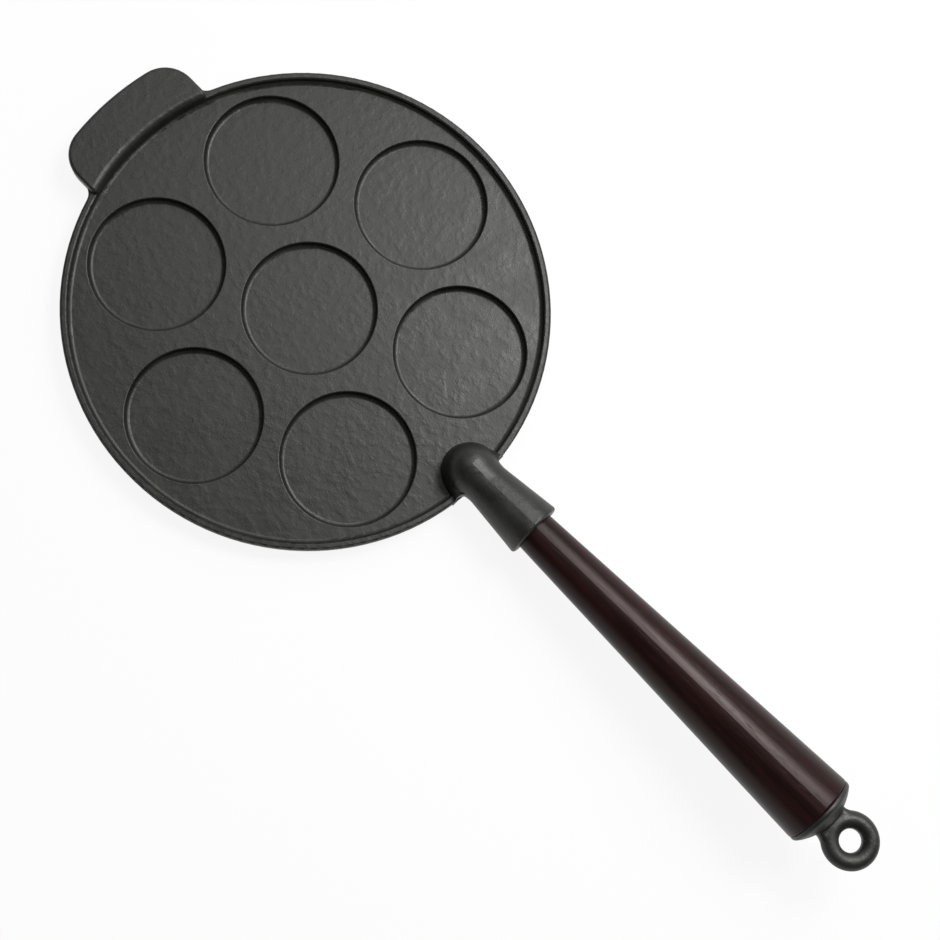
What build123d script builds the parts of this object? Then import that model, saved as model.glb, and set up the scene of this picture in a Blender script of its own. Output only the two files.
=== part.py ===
from build123d import *
from math import hypot, pi, radians, sin, sqrt, tan
import os

os.makedirs("parts", exist_ok=True)

# Blini pan: an iron plate with seven shallow recesses, a helper tab and a socket, a turned
# wooden handle in the socket, a steel rod through the handle, and an iron end casting with a
# hanging eye. Lengths are millimetres and angles degrees. The pan stands on z = 0, its middle
# is the origin, and the handle points along +X and rises from the table.

# Recesses for the batter, one in the middle and the others in a ring round it
recess_diameter = 64.0
recess_depth = 4.0
recess_count = 6
recess_bridge = 10.2
recess_lip_radius = 0.6
recess_foot_radius = 2.0

# Plate, with a round boss under each recess for the pan to stand on
plate_thickness = 5.5
plate_edge_radius = 2.5
boss_height = 4.0
boss_margin = 2.0
boss_edge_radius = 1.5
casting_draft = 8.0

# Low rim, which starts at a dish margin outside the recesses
dish_margin = 5.1
rim_height = 3.7
rim_width = 3.2
rim_outer_radius = 1.2
rim_lip_radius = 0.7
rim_foot_radius = 2.0

# Helper tab opposite the handle, higher than the rim
tab_width = 71.5
tab_reach = 20.2
tab_rise = 7.5
tab_thickness = 8.5
tab_corner_radius = 16.0
tab_flare_radius = 6.5
tab_root_reach = 8.0
tab_edge_radius = 1.6
tab_crest_radius = 3.0
tab_cover = 0.2

# Knuckle of the casting: a ball on a skirt that widens down to the plate and towards the rim,
# with a flare in each corner between skirt and rim and between rim and socket
knuckle_radius = 12.5
knuckle_inset = 7.0
skirt_radius = 14.3
skirt_end_width = 37.0
skirt_height = 12.5
skirt_depth = 3.3
skirt_draft = 9.0
skirt_edge_radius = 8.0
flare_inner_radius = 5.0
flare_outer_radius = 4.0
flare_inset = 2.4
flare_cover = 0.2

# Socket, a tube on the handle's axis, measured from the middle of the ball: it narrows from the
# ball to the neck and widens to the mouth
handle_rise = 6.0
axis_height = 7.66
neck_distance = 11.5
neck_radius = 11.1
socket_length = 41.4
socket_mouth_radius = 14.3
socket_lip_radius = 1.4
seat_depth = 18.0
seat_clearance = 0.15

# Turned handle: a conical spigot in the seat, then a straight cone as far as the end casting
handle_length = 177.7
handle_front_radius = 10.05
handle_end_radius = 17.9
handle_edge_radius = 0.8
spigot_end_radius = 8.7
spigot_edge_radius = 0.5

# Tie rod, screwed into the socket's root and into the end casting
rod_diameter = 6.0
rod_root_depth = 12.0
rod_end_depth = 6.0
rod_chamfer = 0.6
rod_bore_clearance = 0.5
thread_clearance = 0.1
drill_run_out = 1.0

# End casting: a domed cap, a waisted shank and a round hanging eye
cap_radius = 17.8
cap_edge = 2.1
cap_height = 8.6
cap_edge_radius = 0.8
shank_root_width = 25.0
shank_waist_width = 18.0
shank_eye_width = 19.6
shank_thickness = 7.4
shank_edge_radius = 2.6
eye_distance = 19.9
eye_ring_radius = 9.25
eye_wire_radius = 4.15
eye_hole_radius = 5.3

# Cutting shapes reach past what they cut by a margin, and edges are found to a tolerance
cut_margin = 10.0
tolerance = 0.01

# Heights and radii that follow from the sizes above
plate_underside = boss_height
cooking_plane = plate_underside + plate_thickness
recess_floor = cooking_plane - recess_depth
rim_top = cooking_plane + rim_height
tab_top = cooking_plane + tab_rise
tab_underside = tab_top - tab_thickness
wall_lean = tan(radians(casting_draft))
recess_radius = recess_diameter / 2
recess_pitch_radius = (recess_diameter + recess_bridge) * max(1.0, 0.5 / sin(pi / recess_count))
dish_radius = recess_pitch_radius + recess_radius + dish_margin
rim_inner_radius = dish_radius + rim_height * wall_lean
plate_radius = rim_inner_radius + rim_width
tab_radius = plate_radius + tab_reach
knuckle_x = plate_radius - knuckle_inset
skirt_foot = cooking_plane - skirt_depth

# The upright plane that holds the handle's axis: its x runs along the handle from the middle
# of the ball, and its y points up, square to the handle
handle_plane = Plane(
    origin=(knuckle_x, 0, cooking_plane + axis_height),
    x_dir=(1, 0, tan(radians(handle_rise))),
    z_dir=(0, -1, 0),
)
handle_axis = Axis(handle_plane.origin, handle_plane.x_dir)
seat_bottom = socket_length - seat_depth
handle_end = socket_length + handle_length
eye_x = handle_end + eye_distance
rod_start = seat_bottom - rod_root_depth
rod_end = handle_end + rod_end_depth
rod_hole_radius = rod_diameter / 2 + thread_clearance


def on_handle(along, lift=0.0):
    """The point at a distance along the handle's axis and a lift above it."""
    return handle_plane.from_local_coords((along, lift, 0))


def across_handle(along, lift=0.0):
    """The plane through that point, square to the handle's axis."""
    return Plane(on_handle(along, lift), x_dir=(0, 1, 0), z_dir=handle_plane.x_dir)


def corner(sketch, along, up):
    """The corner of a sketch at a point of the sketch's own plane."""
    return sketch.vertices().sort_by_distance((along, up, 0))[0]


def reach(point):
    """Distance of a point from the upright axis through the middle of the plate."""
    return hypot(point.X, point.Y)


def circles(part, radius, height):
    """The level round edges of a part that have a radius and lie at a height."""
    level = part.edges().filter_by(GeomType.CIRCLE)
    level = level.filter_by_position(Axis.Z, height - tolerance, height + tolerance)
    return level.filter_by(lambda edge: abs(edge.radius - radius) < tolerance)


def circle_at_each_recess(radius):
    """A circle in the middle and one at each place in the ring, in the open sketch."""
    Circle(radius)
    with PolarLocations(recess_pitch_radius, recess_count, start_angle=180 / recess_count):
        Circle(radius)


def tab_in_plan(radius, width):
    """A tab as wide as this that ends at this radius, in the open sketch."""
    Circle(radius)
    with Locations((-radius, 0)):
        Rectangle(4 * tab_reach, width, mode=Mode.INTERSECT)


def knuckle_in_plan(inset):
    """The outline of the knuckle's skirt, drawn in by an inset, in the open sketch."""
    with Locations((knuckle_x, 0)):
        Circle(skirt_radius - inset)
    with Locations((plate_radius + flare_outer_radius, 0)):
        Rectangle(cut_margin, skirt_end_width - 2 * inset, align=(Align.MIN, Align.CENTER))
    make_hull()


# Plate: the disc and the root of the tab in one outline, turned from below and hollowed from
# above. The root has the concave corners of the tab, which covers the rest of it
with BuildPart() as plate:
    with BuildSketch(Plane.XY.offset(rim_top)) as outline:
        tab_in_plan(plate_radius + tab_root_reach, tab_width - 2 * tab_cover)
        Circle(plate_radius)
        on_wall = outline.vertices().filter_by(lambda vertex: reach(vertex) < plate_radius + tolerance)
        fillet(on_wall.group_by(Axis.X)[0], radius=tab_flare_radius)
    extrude(amount=plate_underside - rim_top)
    fillet(plate.faces().sort_by(Axis.Z)[-1].edges(), radius=rim_outer_radius)

    lean_start = cooking_plane - rim_foot_radius
    root_underside = tab_underside + tab_edge_radius + tab_cover
    below = plate_underside - cut_margin
    with BuildSketch(Plane.XZ):
        with BuildLine():
            Polyline(
                (plate_radius - (lean_start - below) * wall_lean, below),
                (plate_radius + (root_underside - lean_start) * wall_lean, root_underside),
                (tab_radius + cut_margin, root_underside),
                (tab_radius + cut_margin, below),
                close=True,
            )
        make_face()
    revolve(axis=Axis.Z, mode=Mode.SUBTRACT)
    fillet(plate.faces().sort_by(Axis.Z)[0].edges(), radius=plate_edge_radius)

    with BuildSketch():
        circle_at_each_recess(recess_radius + boss_margin)
    extrude(amount=boss_height + plate_edge_radius)
    fillet(plate.faces().group_by(Axis.Z)[0].edges(), radius=boss_edge_radius)

    with BuildSketch(Plane.XY.offset(cooking_plane)):
        Circle(dish_radius)
    extrude(amount=rim_height + cut_margin, taper=-casting_draft, mode=Mode.SUBTRACT)
    fillet(circles(plate, dish_radius, cooking_plane), radius=rim_foot_radius)
    fillet(circles(plate, rim_inner_radius, rim_top), radius=rim_lip_radius)

    with BuildSketch(Plane.XY.offset(cooking_plane)):
        circle_at_each_recess(recess_radius)
    extrude(amount=-recess_depth, taper=casting_draft, mode=Mode.SUBTRACT)
    floor_radius = recess_radius - recess_depth * wall_lean
    fillet(circles(plate, floor_radius, recess_floor), radius=recess_foot_radius)
    fillet(circles(plate, recess_radius, cooking_plane), radius=recess_lip_radius)

# Tab: its inner side stands just proud of the wall of the rim and rises to a rounded crest
with BuildPart() as tab:
    with BuildSketch(Plane.XY.offset(tab_underside)) as tab_outline:
        tab_in_plan(tab_radius, tab_width)
        fillet(tab_outline.vertices().group_by(Axis.X)[0], radius=tab_corner_radius)
    extrude(amount=tab_thickness)
    crest_radius = dish_radius - tab_cover + tab_rise * wall_lean
    below = tab_underside - cut_margin
    with BuildSketch(Plane.XY.offset(below)):
        Circle(crest_radius - (tab_top - below) * wall_lean)
    extrude(amount=tab_thickness + 2 * cut_margin, taper=-casting_draft, mode=Mode.SUBTRACT)
    fillet(circles(tab, crest_radius, tab_top), radius=tab_crest_radius)
    fillet(tab.faces().sort_by(Axis.Z)[-1].edges(), radius=tab_edge_radius)
    under_edges = tab.faces().sort_by(Axis.Z)[0].edges()
    outer_edges = under_edges.filter_by(lambda edge: reach(edge @ 0.5) > rim_inner_radius)
    fillet(outer_edges, radius=tab_edge_radius)

# Skirt: the foot of the knuckle, which narrows upwards into the ball. Behind the rim it ends in
# the outer flare, a quarter round turned about the handle's axis as far as the neck
with BuildPart() as skirt:
    with BuildSketch(Plane.XY.offset(skirt_foot)):
        knuckle_in_plan(0)
    extrude(amount=skirt_depth + skirt_height, taper=skirt_draft)
    shoulder = skirt.faces().sort_by(Axis.Z)[-1].edges().sort_by(Axis.X)[:-1]
    fillet(shoulder, radius=skirt_edge_radius)

    inner_radius = neck_radius - flare_cover
    flare_radius = inner_radius + flare_outer_radius
    wall_curve = plate_radius - sqrt(plate_radius**2 - flare_radius**2)
    flare_lean = axis_height * tan(radians(handle_rise))
    flare_start = knuckle_inset - wall_curve - flare_lean - flare_cover
    flare_end = flare_start + flare_outer_radius
    with BuildSketch(handle_plane):
        with BuildLine():
            RadiusArc((flare_start, flare_radius), (flare_end, inner_radius), -flare_outer_radius)
            Polyline(
                (flare_end, inner_radius),
                (socket_length, inner_radius),
                (socket_length, skirt_end_width),
                (flare_start, skirt_end_width),
                (flare_start, flare_radius),
            )
        make_face()
    revolve(axis=handle_axis, mode=Mode.SUBTRACT)

# Inner flare: a concave corner on each side between the skirt and the rim, as high as the rim
rim_middle = dish_radius + rim_foot_radius
with BuildSketch() as part_of_rim:
    Circle(plate_radius)
    Circle(rim_middle, mode=Mode.SUBTRACT)
    with Locations((plate_radius, 0)):
        Rectangle(4 * cut_margin, skirt_end_width + 2 * flare_inner_radius, mode=Mode.INTERSECT)
with BuildPart() as inner_flare:
    with BuildSketch(Plane.XY.offset(skirt_foot)) as flare_outline:
        knuckle_in_plan(flare_inset)
        add(part_of_rim.sketch)
        Circle(plate_radius - flare_cover, mode=Mode.INTERSECT)
        on_rim = flare_outline.vertices().sort_by(lambda vertex: abs(reach(vertex) - rim_middle))[:4]
        fillet(on_rim.sort_by(lambda vertex: abs(vertex.Y))[:2], radius=flare_inner_radius)
    extrude(amount=rim_top - flare_cover - skirt_foot)

# Socket: a turned tube that starts as the ball of the knuckle and ends in a rounded lip
with BuildPart() as socket:
    with BuildSketch(handle_plane) as socket_section:
        with BuildLine():
            RadiusArc((-knuckle_radius, 0), (0, knuckle_radius), knuckle_radius)
            Spline(
                (0, knuckle_radius),
                (neck_distance, neck_radius),
                tangents=[(1, 0), (socket_length - neck_distance, socket_mouth_radius - neck_radius)],
            )
            Polyline(
                (neck_distance, neck_radius),
                (socket_length, socket_mouth_radius),
                (socket_length, 0),
                (-knuckle_radius, 0),
            )
        make_face()
        fillet(corner(socket_section, socket_length, socket_mouth_radius), radius=socket_lip_radius)
    revolve(axis=handle_axis)

# Pan casting: all five are one piece of iron, bored for the handle and its rod
with BuildPart() as pan_casting:
    add(plate.part)
    add(tab.part)
    add(skirt.part)
    add(inner_flare.part)
    add(socket.part)

    seat_taper = (handle_front_radius - spigot_end_radius) / seat_depth
    with BuildSketch(handle_plane):
        with BuildLine():
            Polyline(
                (rod_start - drill_run_out, 0),
                (rod_start - drill_run_out, rod_hole_radius),
                (seat_bottom, rod_hole_radius),
                (seat_bottom, spigot_end_radius + seat_clearance),
                (socket_length + cut_margin, handle_front_radius + seat_clearance + cut_margin * seat_taper),
                (socket_length + cut_margin, 0),
                close=True,
            )
        make_face()
    revolve(axis=handle_axis, mode=Mode.SUBTRACT)
pan_casting.part.label = "pan_casting"
export_step(pan_casting.part, "parts/pan_casting.step")

# Wooden handle: turned, bored through for the rod, with its spigot on the floor of the socket
with BuildPart() as wooden_handle:
    bore_radius = rod_diameter / 2 + rod_bore_clearance
    with BuildSketch(handle_plane) as handle_section:
        with BuildLine():
            Polyline(
                (seat_bottom, bore_radius),
                (seat_bottom, spigot_end_radius),
                (socket_length, handle_front_radius),
                (handle_end, handle_end_radius),
                (handle_end, bore_radius),
                close=True,
            )
        make_face()
        fillet(corner(handle_section, seat_bottom, spigot_end_radius), radius=spigot_edge_radius)
        fillet(corner(handle_section, handle_end, handle_end_radius), radius=handle_edge_radius)
    revolve(axis=handle_axis)
wooden_handle.part.label = "wooden_handle"
export_step(wooden_handle.part, "parts/wooden_handle.step")

# Tie rod: steel bar with chamfered ends, which holds handle and end casting to the socket
with BuildPart() as tie_rod:
    with BuildSketch(across_handle(rod_start)):
        Circle(rod_diameter / 2)
    extrude(amount=rod_end - rod_start)
    chamfer(tie_rod.edges().filter_by(GeomType.CIRCLE), length=rod_chamfer)
tie_rod.part.label = "tie_rod"
export_step(tie_rod.part, "parts/tie_rod.step")

# Cap of the end casting: a shallow dome behind a short straight edge
with BuildPart() as cap:
    dome_start = handle_end + cap_edge
    dome_top = handle_end + cap_height
    dome_height = cap_height - cap_edge
    dome_radius = (cap_radius**2 + dome_height**2) / (2 * dome_height)
    with BuildSketch(handle_plane) as cap_section:
        with BuildLine():
            Polyline((dome_top, 0), (handle_end, 0), (handle_end, cap_radius), (dome_start, cap_radius))
            RadiusArc((dome_start, cap_radius), (dome_top, 0), dome_radius)
        make_face()
        fillet(corner(cap_section, dome_start, cap_radius), radius=cap_edge_radius)
    revolve(axis=handle_axis)

# Shank of the end casting: a waisted web between the dome and the middle of the eye's wire
with BuildPart() as shank:
    shank_end = eye_x - eye_ring_radius
    level_plane = Plane(handle_plane.origin, x_dir=handle_plane.x_dir, z_dir=handle_plane.y_dir)
    with BuildSketch(level_plane.offset(-shank_thickness / 2)):
        with BuildLine():
            side = ThreePointArc(
                (dome_start, shank_root_width / 2),
                (dome_top, shank_waist_width / 2),
                (shank_end, shank_eye_width / 2),
            )
            mirror(side, about=Plane.XZ)
            Line((dome_start, shank_root_width / 2), (dome_start, -shank_root_width / 2))
            Line((shank_end, shank_eye_width / 2), (shank_end, -shank_eye_width / 2))
        make_face()
    extrude(amount=shank_thickness)
    fillet(shank.edges().filter_by(GeomType.CIRCLE), radius=shank_edge_radius)

# Eye of the end casting: a ring of round section, level across the handle
with BuildPart() as eye:
    with BuildSketch(handle_plane):
        with Locations((eye_x + eye_ring_radius, 0)):
            Circle(eye_wire_radius)
    revolve(axis=Axis(on_handle(eye_x), handle_plane.y_dir))

# End casting: cap, shank and eye are one piece of iron, drilled for the rod and the hook
with BuildPart() as end_casting:
    add(cap.part)
    add(shank.part)
    add(eye.part)
    with BuildSketch(Plane(on_handle(eye_x), x_dir=handle_plane.x_dir, z_dir=handle_plane.y_dir)):
        Circle(eye_hole_radius)
    extrude(amount=eye_wire_radius + cut_margin, both=True, mode=Mode.SUBTRACT)
    with BuildSketch(across_handle(handle_end)):
        Circle(rod_hole_radius)
    extrude(amount=rod_end_depth + drill_run_out, mode=Mode.SUBTRACT)
end_casting.part.label = "end_casting"
export_step(end_casting.part, "parts/end_casting.step")
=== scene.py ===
import math

import bmesh
import bpy
from mathutils import Matrix, Vector


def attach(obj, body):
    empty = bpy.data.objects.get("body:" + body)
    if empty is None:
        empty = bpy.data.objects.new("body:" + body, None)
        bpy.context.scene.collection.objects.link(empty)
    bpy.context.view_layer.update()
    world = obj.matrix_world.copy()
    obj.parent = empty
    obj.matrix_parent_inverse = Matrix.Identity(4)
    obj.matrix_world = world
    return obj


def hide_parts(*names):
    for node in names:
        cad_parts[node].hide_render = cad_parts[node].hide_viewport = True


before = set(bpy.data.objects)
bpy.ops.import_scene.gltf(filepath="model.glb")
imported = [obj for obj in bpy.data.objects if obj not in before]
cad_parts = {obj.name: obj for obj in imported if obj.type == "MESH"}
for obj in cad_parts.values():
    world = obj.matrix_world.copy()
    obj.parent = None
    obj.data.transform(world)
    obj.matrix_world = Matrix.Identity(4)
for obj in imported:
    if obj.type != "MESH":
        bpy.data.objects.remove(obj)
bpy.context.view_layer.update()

# Pan casting: the plate with its recesses, the rim, the tab, the knuckle and the socket in one
# piece of grey iron. It is cast in sand, which leaves a fine grain, and seasoned with burnt-in
# oil. The handle sits in the socket and the pan stands on the bosses under its recesses.
sand_grain = 0.0007
grain_height = 0.0002
lump = 0.0042
lump_height = 0.0003
relief_strength = 0.25
oil_patch = 0.016
thick_oil = "#171715"
thin_oil = "#21211e"
bare_grain = "#32322e"
most_bareness = 0.5
oil_gloss_tint = "#fffffb"
oil_ior = 1.5
smoothest_iron = 0.40
roughest_iron = 0.50


def linear(hex_colour):
    """An sRGB hex colour as the linear colour that a shader takes."""
    channels = [int(hex_colour[i:i + 2], 16) / 255 for i in (1, 3, 5)]
    return [c / 12.92 if c <= 0.04045 else ((c + 0.055) / 1.055) ** 2.4 for c in channels] + [1.0]


def fill_inputs(tree, node, **inputs):
    """Gives inputs of a node a value or a link. Their names have underscores for spaces."""
    sockets = {socket.identifier.replace(" ", "_"): socket for socket in node.inputs}
    for name, value in inputs.items():
        if isinstance(value, bpy.types.NodeSocket):
            tree.links.new(value, sockets[name])
        else:
            sockets[name].default_value = value


def add_node(tree, kind, settings=None, output=None, **inputs):
    """Adds a node with its settings and inputs. Gives back the named output, or the first."""
    node = tree.nodes.new(kind)
    for name, value in (settings or {}).items():
        setattr(node, name, value)
    fill_inputs(tree, node, **inputs)
    return next(socket for socket in node.outputs if output in (None, socket.identifier))


def new_material(name):
    """A new material, its node tree and its main shader."""
    material = bpy.data.materials.new(name)
    material.use_nodes = True
    return material, material.node_tree, material.node_tree.nodes["Principled BSDF"]


def finish_piece(name, material):
    """Gives a whole piece this material."""
    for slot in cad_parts[name].material_slots:
        slot.material = material


# Seasoned sand-cast iron: a near-black skin whose grain breaks the light into a fine sparkle,
# with soft lighter and darker patches where the oil lies thinner or thicker. The sand's own
# grain of about 0.2 mm is too fine to show, so it is drawn at 0.7 mm.
seasoned_iron, tree, shader = new_material("seasoned_sand_cast_iron")
place = add_node(tree, "ShaderNodeTexCoord", output="Object")
softly = {"interpolation_type": "SMOOTHSTEP"}
of_colours = {"data_type": "RGBA"}

# Each noise lies about one half, and a range of it says where the skin changes
oil = add_node(tree, "ShaderNodeTexNoise", Vector=place, Scale=1 / oil_patch, Detail=4.0, Roughness=0.6)
thinness = add_node(tree, "ShaderNodeMapRange", softly, Value=oil, From_Min=0.35, From_Max=0.68)
skin = add_node(
    tree, "ShaderNodeMix", of_colours, "Result_Color",
    Factor_Float=thinness, A_Color=linear(thick_oil), B_Color=linear(thin_oil),
)
grains = add_node(tree, "ShaderNodeTexNoise", Vector=place, Scale=1 / sand_grain)
bareness = add_node(
    tree, "ShaderNodeMapRange", softly,
    Value=grains, From_Min=0.56, From_Max=0.74, To_Max=most_bareness,
)
skin = add_node(
    tree, "ShaderNodeMix", of_colours, "Result_Color",
    Factor_Float=bareness, A_Color=skin, B_Color=linear(bare_grain),
)
dullness = add_node(
    tree, "ShaderNodeMapRange", softly,
    Value=oil, From_Min=0.3, From_Max=0.7, To_Min=smoothest_iron, To_Max=roughest_iron,
)
swells = add_node(tree, "ShaderNodeTexNoise", Vector=place, Scale=1 / lump)
lumps = add_node(tree, "ShaderNodeMapRange", softly, Value=swells, From_Min=0.38, From_Max=0.72)
relief = add_node(tree, "ShaderNodeBump", Height=lumps, Distance=lump_height, Strength=relief_strength)
relief = add_node(
    tree, "ShaderNodeBump",
    Height=grains, Distance=grain_height, Strength=relief_strength, Normal=relief,
)
fill_inputs(tree, shader, Base_Color=skin, Roughness=dullness, Normal=relief)
fill_inputs(tree, shader, IOR=oil_ior, Specular_Tint=linear(oil_gloss_tint))
finish_piece("pan_casting", seasoned_iron)

# Wooden handle: walnut, turned to a long cone, bored through for the rod and oiled dark. Its
# spigot sits in the socket and the rod holds it there.
handle_rise = math.radians(6)
streak_length = 0.09
streak_width = 0.0035
pore_length = 0.012
pore_width = 0.0005
pore_depth = 0.00008
pore_strength = 0.3
dark_streak = "#180c0b"
light_streak = "#271412"
open_pore = "#120909"
wood_gloss_tint = "#fff0ec"
wood_gloss_level = 0.22
smoothest_wood = 0.30
roughest_wood = 0.37

# Dark oiled walnut: red-brown, almost black, with faint streaks along the handle and fine open
# pores, under oil that gives a broad, soft highlight. Pores of about 0.2 mm are too fine to
# show, so they are drawn 0.5 mm wide.
walnut, tree, shader = new_material("dark_oiled_walnut")
place = add_node(tree, "ShaderNodeTexCoord", output="Object")
sized = {"vector_type": "TEXTURE"}
handle_turn = (0, -handle_rise, 0)
streak_size = (streak_length, streak_width, streak_width)
pore_size = (pore_length, pore_width, pore_width)

# The grain runs along the handle, and is counted in lengths and widths of a streak or a pore
grain = add_node(tree, "ShaderNodeMapping", sized, Vector=place, Rotation=handle_turn, Scale=streak_size)
streaks = add_node(tree, "ShaderNodeTexNoise", Vector=grain, Scale=1.0, Detail=4.0, Roughness=0.6)
lightness = add_node(tree, "ShaderNodeMapRange", softly, Value=streaks, From_Min=0.35, From_Max=0.65)
wood = add_node(
    tree, "ShaderNodeMix", of_colours, "Result_Color",
    Factor_Float=lightness, A_Color=linear(dark_streak), B_Color=linear(light_streak),
)
grain = add_node(tree, "ShaderNodeMapping", sized, Vector=place, Rotation=handle_turn, Scale=pore_size)
pores = add_node(tree, "ShaderNodeTexNoise", Vector=grain, Scale=1.0, Detail=1.0)
pores = add_node(tree, "ShaderNodeMapRange", softly, Value=pores, From_Min=0.62, From_Max=0.72)
wood = add_node(
    tree, "ShaderNodeMix", of_colours, "Result_Color",
    Factor_Float=pores, A_Color=wood, B_Color=linear(open_pore),
)
dullness = add_node(
    tree, "ShaderNodeMapRange", softly,
    Value=streaks, From_Min=0.3, From_Max=0.7, To_Min=smoothest_wood, To_Max=roughest_wood,
)
sunk = {"invert": True}
relief = add_node(tree, "ShaderNodeBump", sunk, Height=pores, Distance=pore_depth, Strength=pore_strength)
fill_inputs(tree, shader, Base_Color=wood, Roughness=dullness, Normal=relief)
fill_inputs(tree, shader, Specular_IOR_Level=wood_gloss_level, Specular_Tint=linear(wood_gloss_tint))
finish_piece("wooden_handle", walnut)

# Tie rod: a drawn steel bar, threaded at both ends and hidden in the bore of the handle. It
# screws into the root of the socket and into the end casting, and pulls the three together.
steel_grey = "#b4b4b6"
steel_roughness = 0.35

# Drawn steel: bright grey with the soft sheen of a pulled bar
steel, tree, shader = new_material("drawn_steel")
fill_inputs(tree, shader, Base_Color=linear(steel_grey), Metallic=1.0, Roughness=steel_roughness)
finish_piece("tie_rod", steel)

# End casting: the cap, the shank and the hanging eye in one small piece of the same iron, cast
# in sand, seasoned like the pan and screwed onto the rod. Its inner corners are rounded in the
# mould, so that the shank flows into the ring.
same_point = 0.000001
skin_step = 0.0004
rounding = 0.5
rounding_passes = 14


def add_object(name, data):
    """A new object in the scene, with this mesh, lamp or camera."""
    item = bpy.data.objects.new(name, data)
    bpy.context.scene.collection.objects.link(item)
    return item


end_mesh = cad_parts["end_casting"].data.copy()
bm = bmesh.new()
bm.from_mesh(end_mesh)
bmesh.ops.remove_doubles(bm, verts=bm.verts, dist=same_point)
bm.to_mesh(end_mesh)
bm.free()
end_mesh.materials.clear()
end_mesh.materials.append(seasoned_iron)
hanging_eye = add_object("cap_and_hanging_eye", end_mesh)

# The skin gets small faces of one size, so that its corners round alike all over
even_skin = hanging_eye.modifiers.new("even_skin", "REMESH")
even_skin.mode = "VOXEL"
even_skin.voxel_size = skin_step
even_skin.use_smooth_shade = True
rounded_corners = hanging_eye.modifiers.new("rounded_corners", "SMOOTH")
rounded_corners.factor = rounding
rounded_corners.iterations = rounding_passes
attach(hanging_eye, "root")
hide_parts("end_casting")

# Studio: a sheet of white paper that the pan stands on, in a dim room. The sheet's edge is
# turned up, so that it meets the room behind the pan in a low view too.
sheet_radius = 4.0
sheet_sides = 96
edge_flare = 1.1
edge_height = 0.8
gap_under_pan = 0.00005
floor_mesh = bpy.data.meshes.new("floor")
bm = bmesh.new()
bmesh.ops.create_circle(bm, cap_ends=True, segments=sheet_sides, radius=sheet_radius)
edge = bmesh.ops.extrude_edge_only(bm, edges=bm.edges[:])["geom"]
edge = [item for item in edge if isinstance(item, bmesh.types.BMVert)]
bmesh.ops.scale(bm, verts=edge, vec=(edge_flare, edge_flare, 1.0))
bmesh.ops.translate(bm, verts=edge, vec=(0, 0, edge_height))
bmesh.ops.translate(bm, verts=bm.verts, vec=(0, 0, -gap_under_pan))
bm.to_mesh(floor_mesh)
bm.free()
floor = add_object("floor", floor_mesh)

# White paper: matt, and mostly of its own light to the camera and in reflections, so that it
# stays white while it keeps the pan's shadow
paper_white = "#f2f2f2"
paper_roughness = 0.9
own_light = 0.9
white_light = "#ffffff"
paper, tree, shader = new_material("white_paper")
fill_inputs(tree, shader, Base_Color=linear(paper_white), Roughness=paper_roughness)
either = {"operation": "MAXIMUM"}
times = {"operation": "MULTIPLY"}
rays = tree.nodes.new("ShaderNodeLightPath").outputs
seen = add_node(tree, "ShaderNodeMath", either, Value=rays["Is Camera Ray"], Value_001=rays["Is Glossy Ray"])
seen = add_node(tree, "ShaderNodeMath", either, Value=seen, Value_001=rays["Is Transmission Ray"])
share = add_node(tree, "ShaderNodeMath", times, Value=seen, Value_001=own_light)
glow = add_node(tree, "ShaderNodeEmission", Color=linear(white_light), Strength=1.0)
sheet = add_node(tree, "ShaderNodeMixShader", Fac=share, Shader=shader.outputs["BSDF"], Shader_001=glow)
fill_inputs(tree, tree.nodes["Material Output"], Surface=sheet)
floor.data.materials.append(paper)

# Room: dim all round and brighter high up on the tab's side, which shows in the iron's sheen
bright_side = (-0.45, 0.6, 0.65)
dimmest = 0.05
brightest = 0.6
world = bpy.data.worlds.new("studio")
bpy.context.scene.world = world
world.use_nodes = True
tree = world.node_tree
direction = add_node(tree, "ShaderNodeTexCoord", output="Generated")
toward = {"operation": "DOT_PRODUCT"}
height = add_node(tree, "ShaderNodeVectorMath", toward, "Value", Vector=direction, Vector_001=bright_side)
room_light = add_node(
    tree, "ShaderNodeMapRange", softly,
    Value=height, From_Min=0.5, From_Max=0.95, To_Min=dimmest, To_Max=brightest,
)
fill_inputs(tree, tree.nodes["Background"], Color=linear(white_light), Strength=room_light)

# Soft lights: a strong one high over the far side gives the plate its sheen, and three weak
# ones beside it carry the sheen on to the right, over the tab and along the rim
lit_point = (0.08, 0.0, 0.0)
soft_light_side = 0.3
main_light_side = 0.32


def softbox(name, place, side, power):
    """A square soft light at a place, turned to the lit point."""
    lamp = bpy.data.lights.new(name, "AREA")
    lamp.shape = "SQUARE"
    lamp.size = side
    lamp.energy = power
    item = add_object(name, lamp)
    item.location = place
    item.rotation_euler = (Vector(lit_point) - Vector(place)).to_track_quat("-Z", "Y").to_euler()


softbox("softbox_over", (0.16, 0.46, 0.88), main_light_side, 7.0)
softbox("softbox_right", (0.62, 0.54, 0.64), soft_light_side, 1.5)
softbox("softbox_left", (-0.29, 0.17, 0.91), soft_light_side, 0.85)
softbox("softbox_far", (-0.15, 0.70, 0.68), soft_light_side, 1.6)

# Camera: above the pan, where the photograph was taken from, and rolled until the handle runs
# to the lower right
camera_place = Vector((0.11976, -0.11511, 0.69953))
looked_at = Vector((0.10765, 0.00201, 0.0))
camera_roll = math.radians(39.666)
focal_length = 56.823
film_width = 36.0
camera = bpy.data.cameras.new("camera")
camera.lens = focal_length
camera.sensor_width = film_width
view = add_object("camera", camera)
level_view = (looked_at - camera_place).to_track_quat("-Z", "Y").to_matrix()
turn = level_view @ Matrix.Rotation(camera_roll, 3, "Z")
view.matrix_world = Matrix.Translation(camera_place) @ turn.to_4x4()
bpy.context.scene.camera = view

bpy.context.scene.view_settings.view_transform = "Standard"
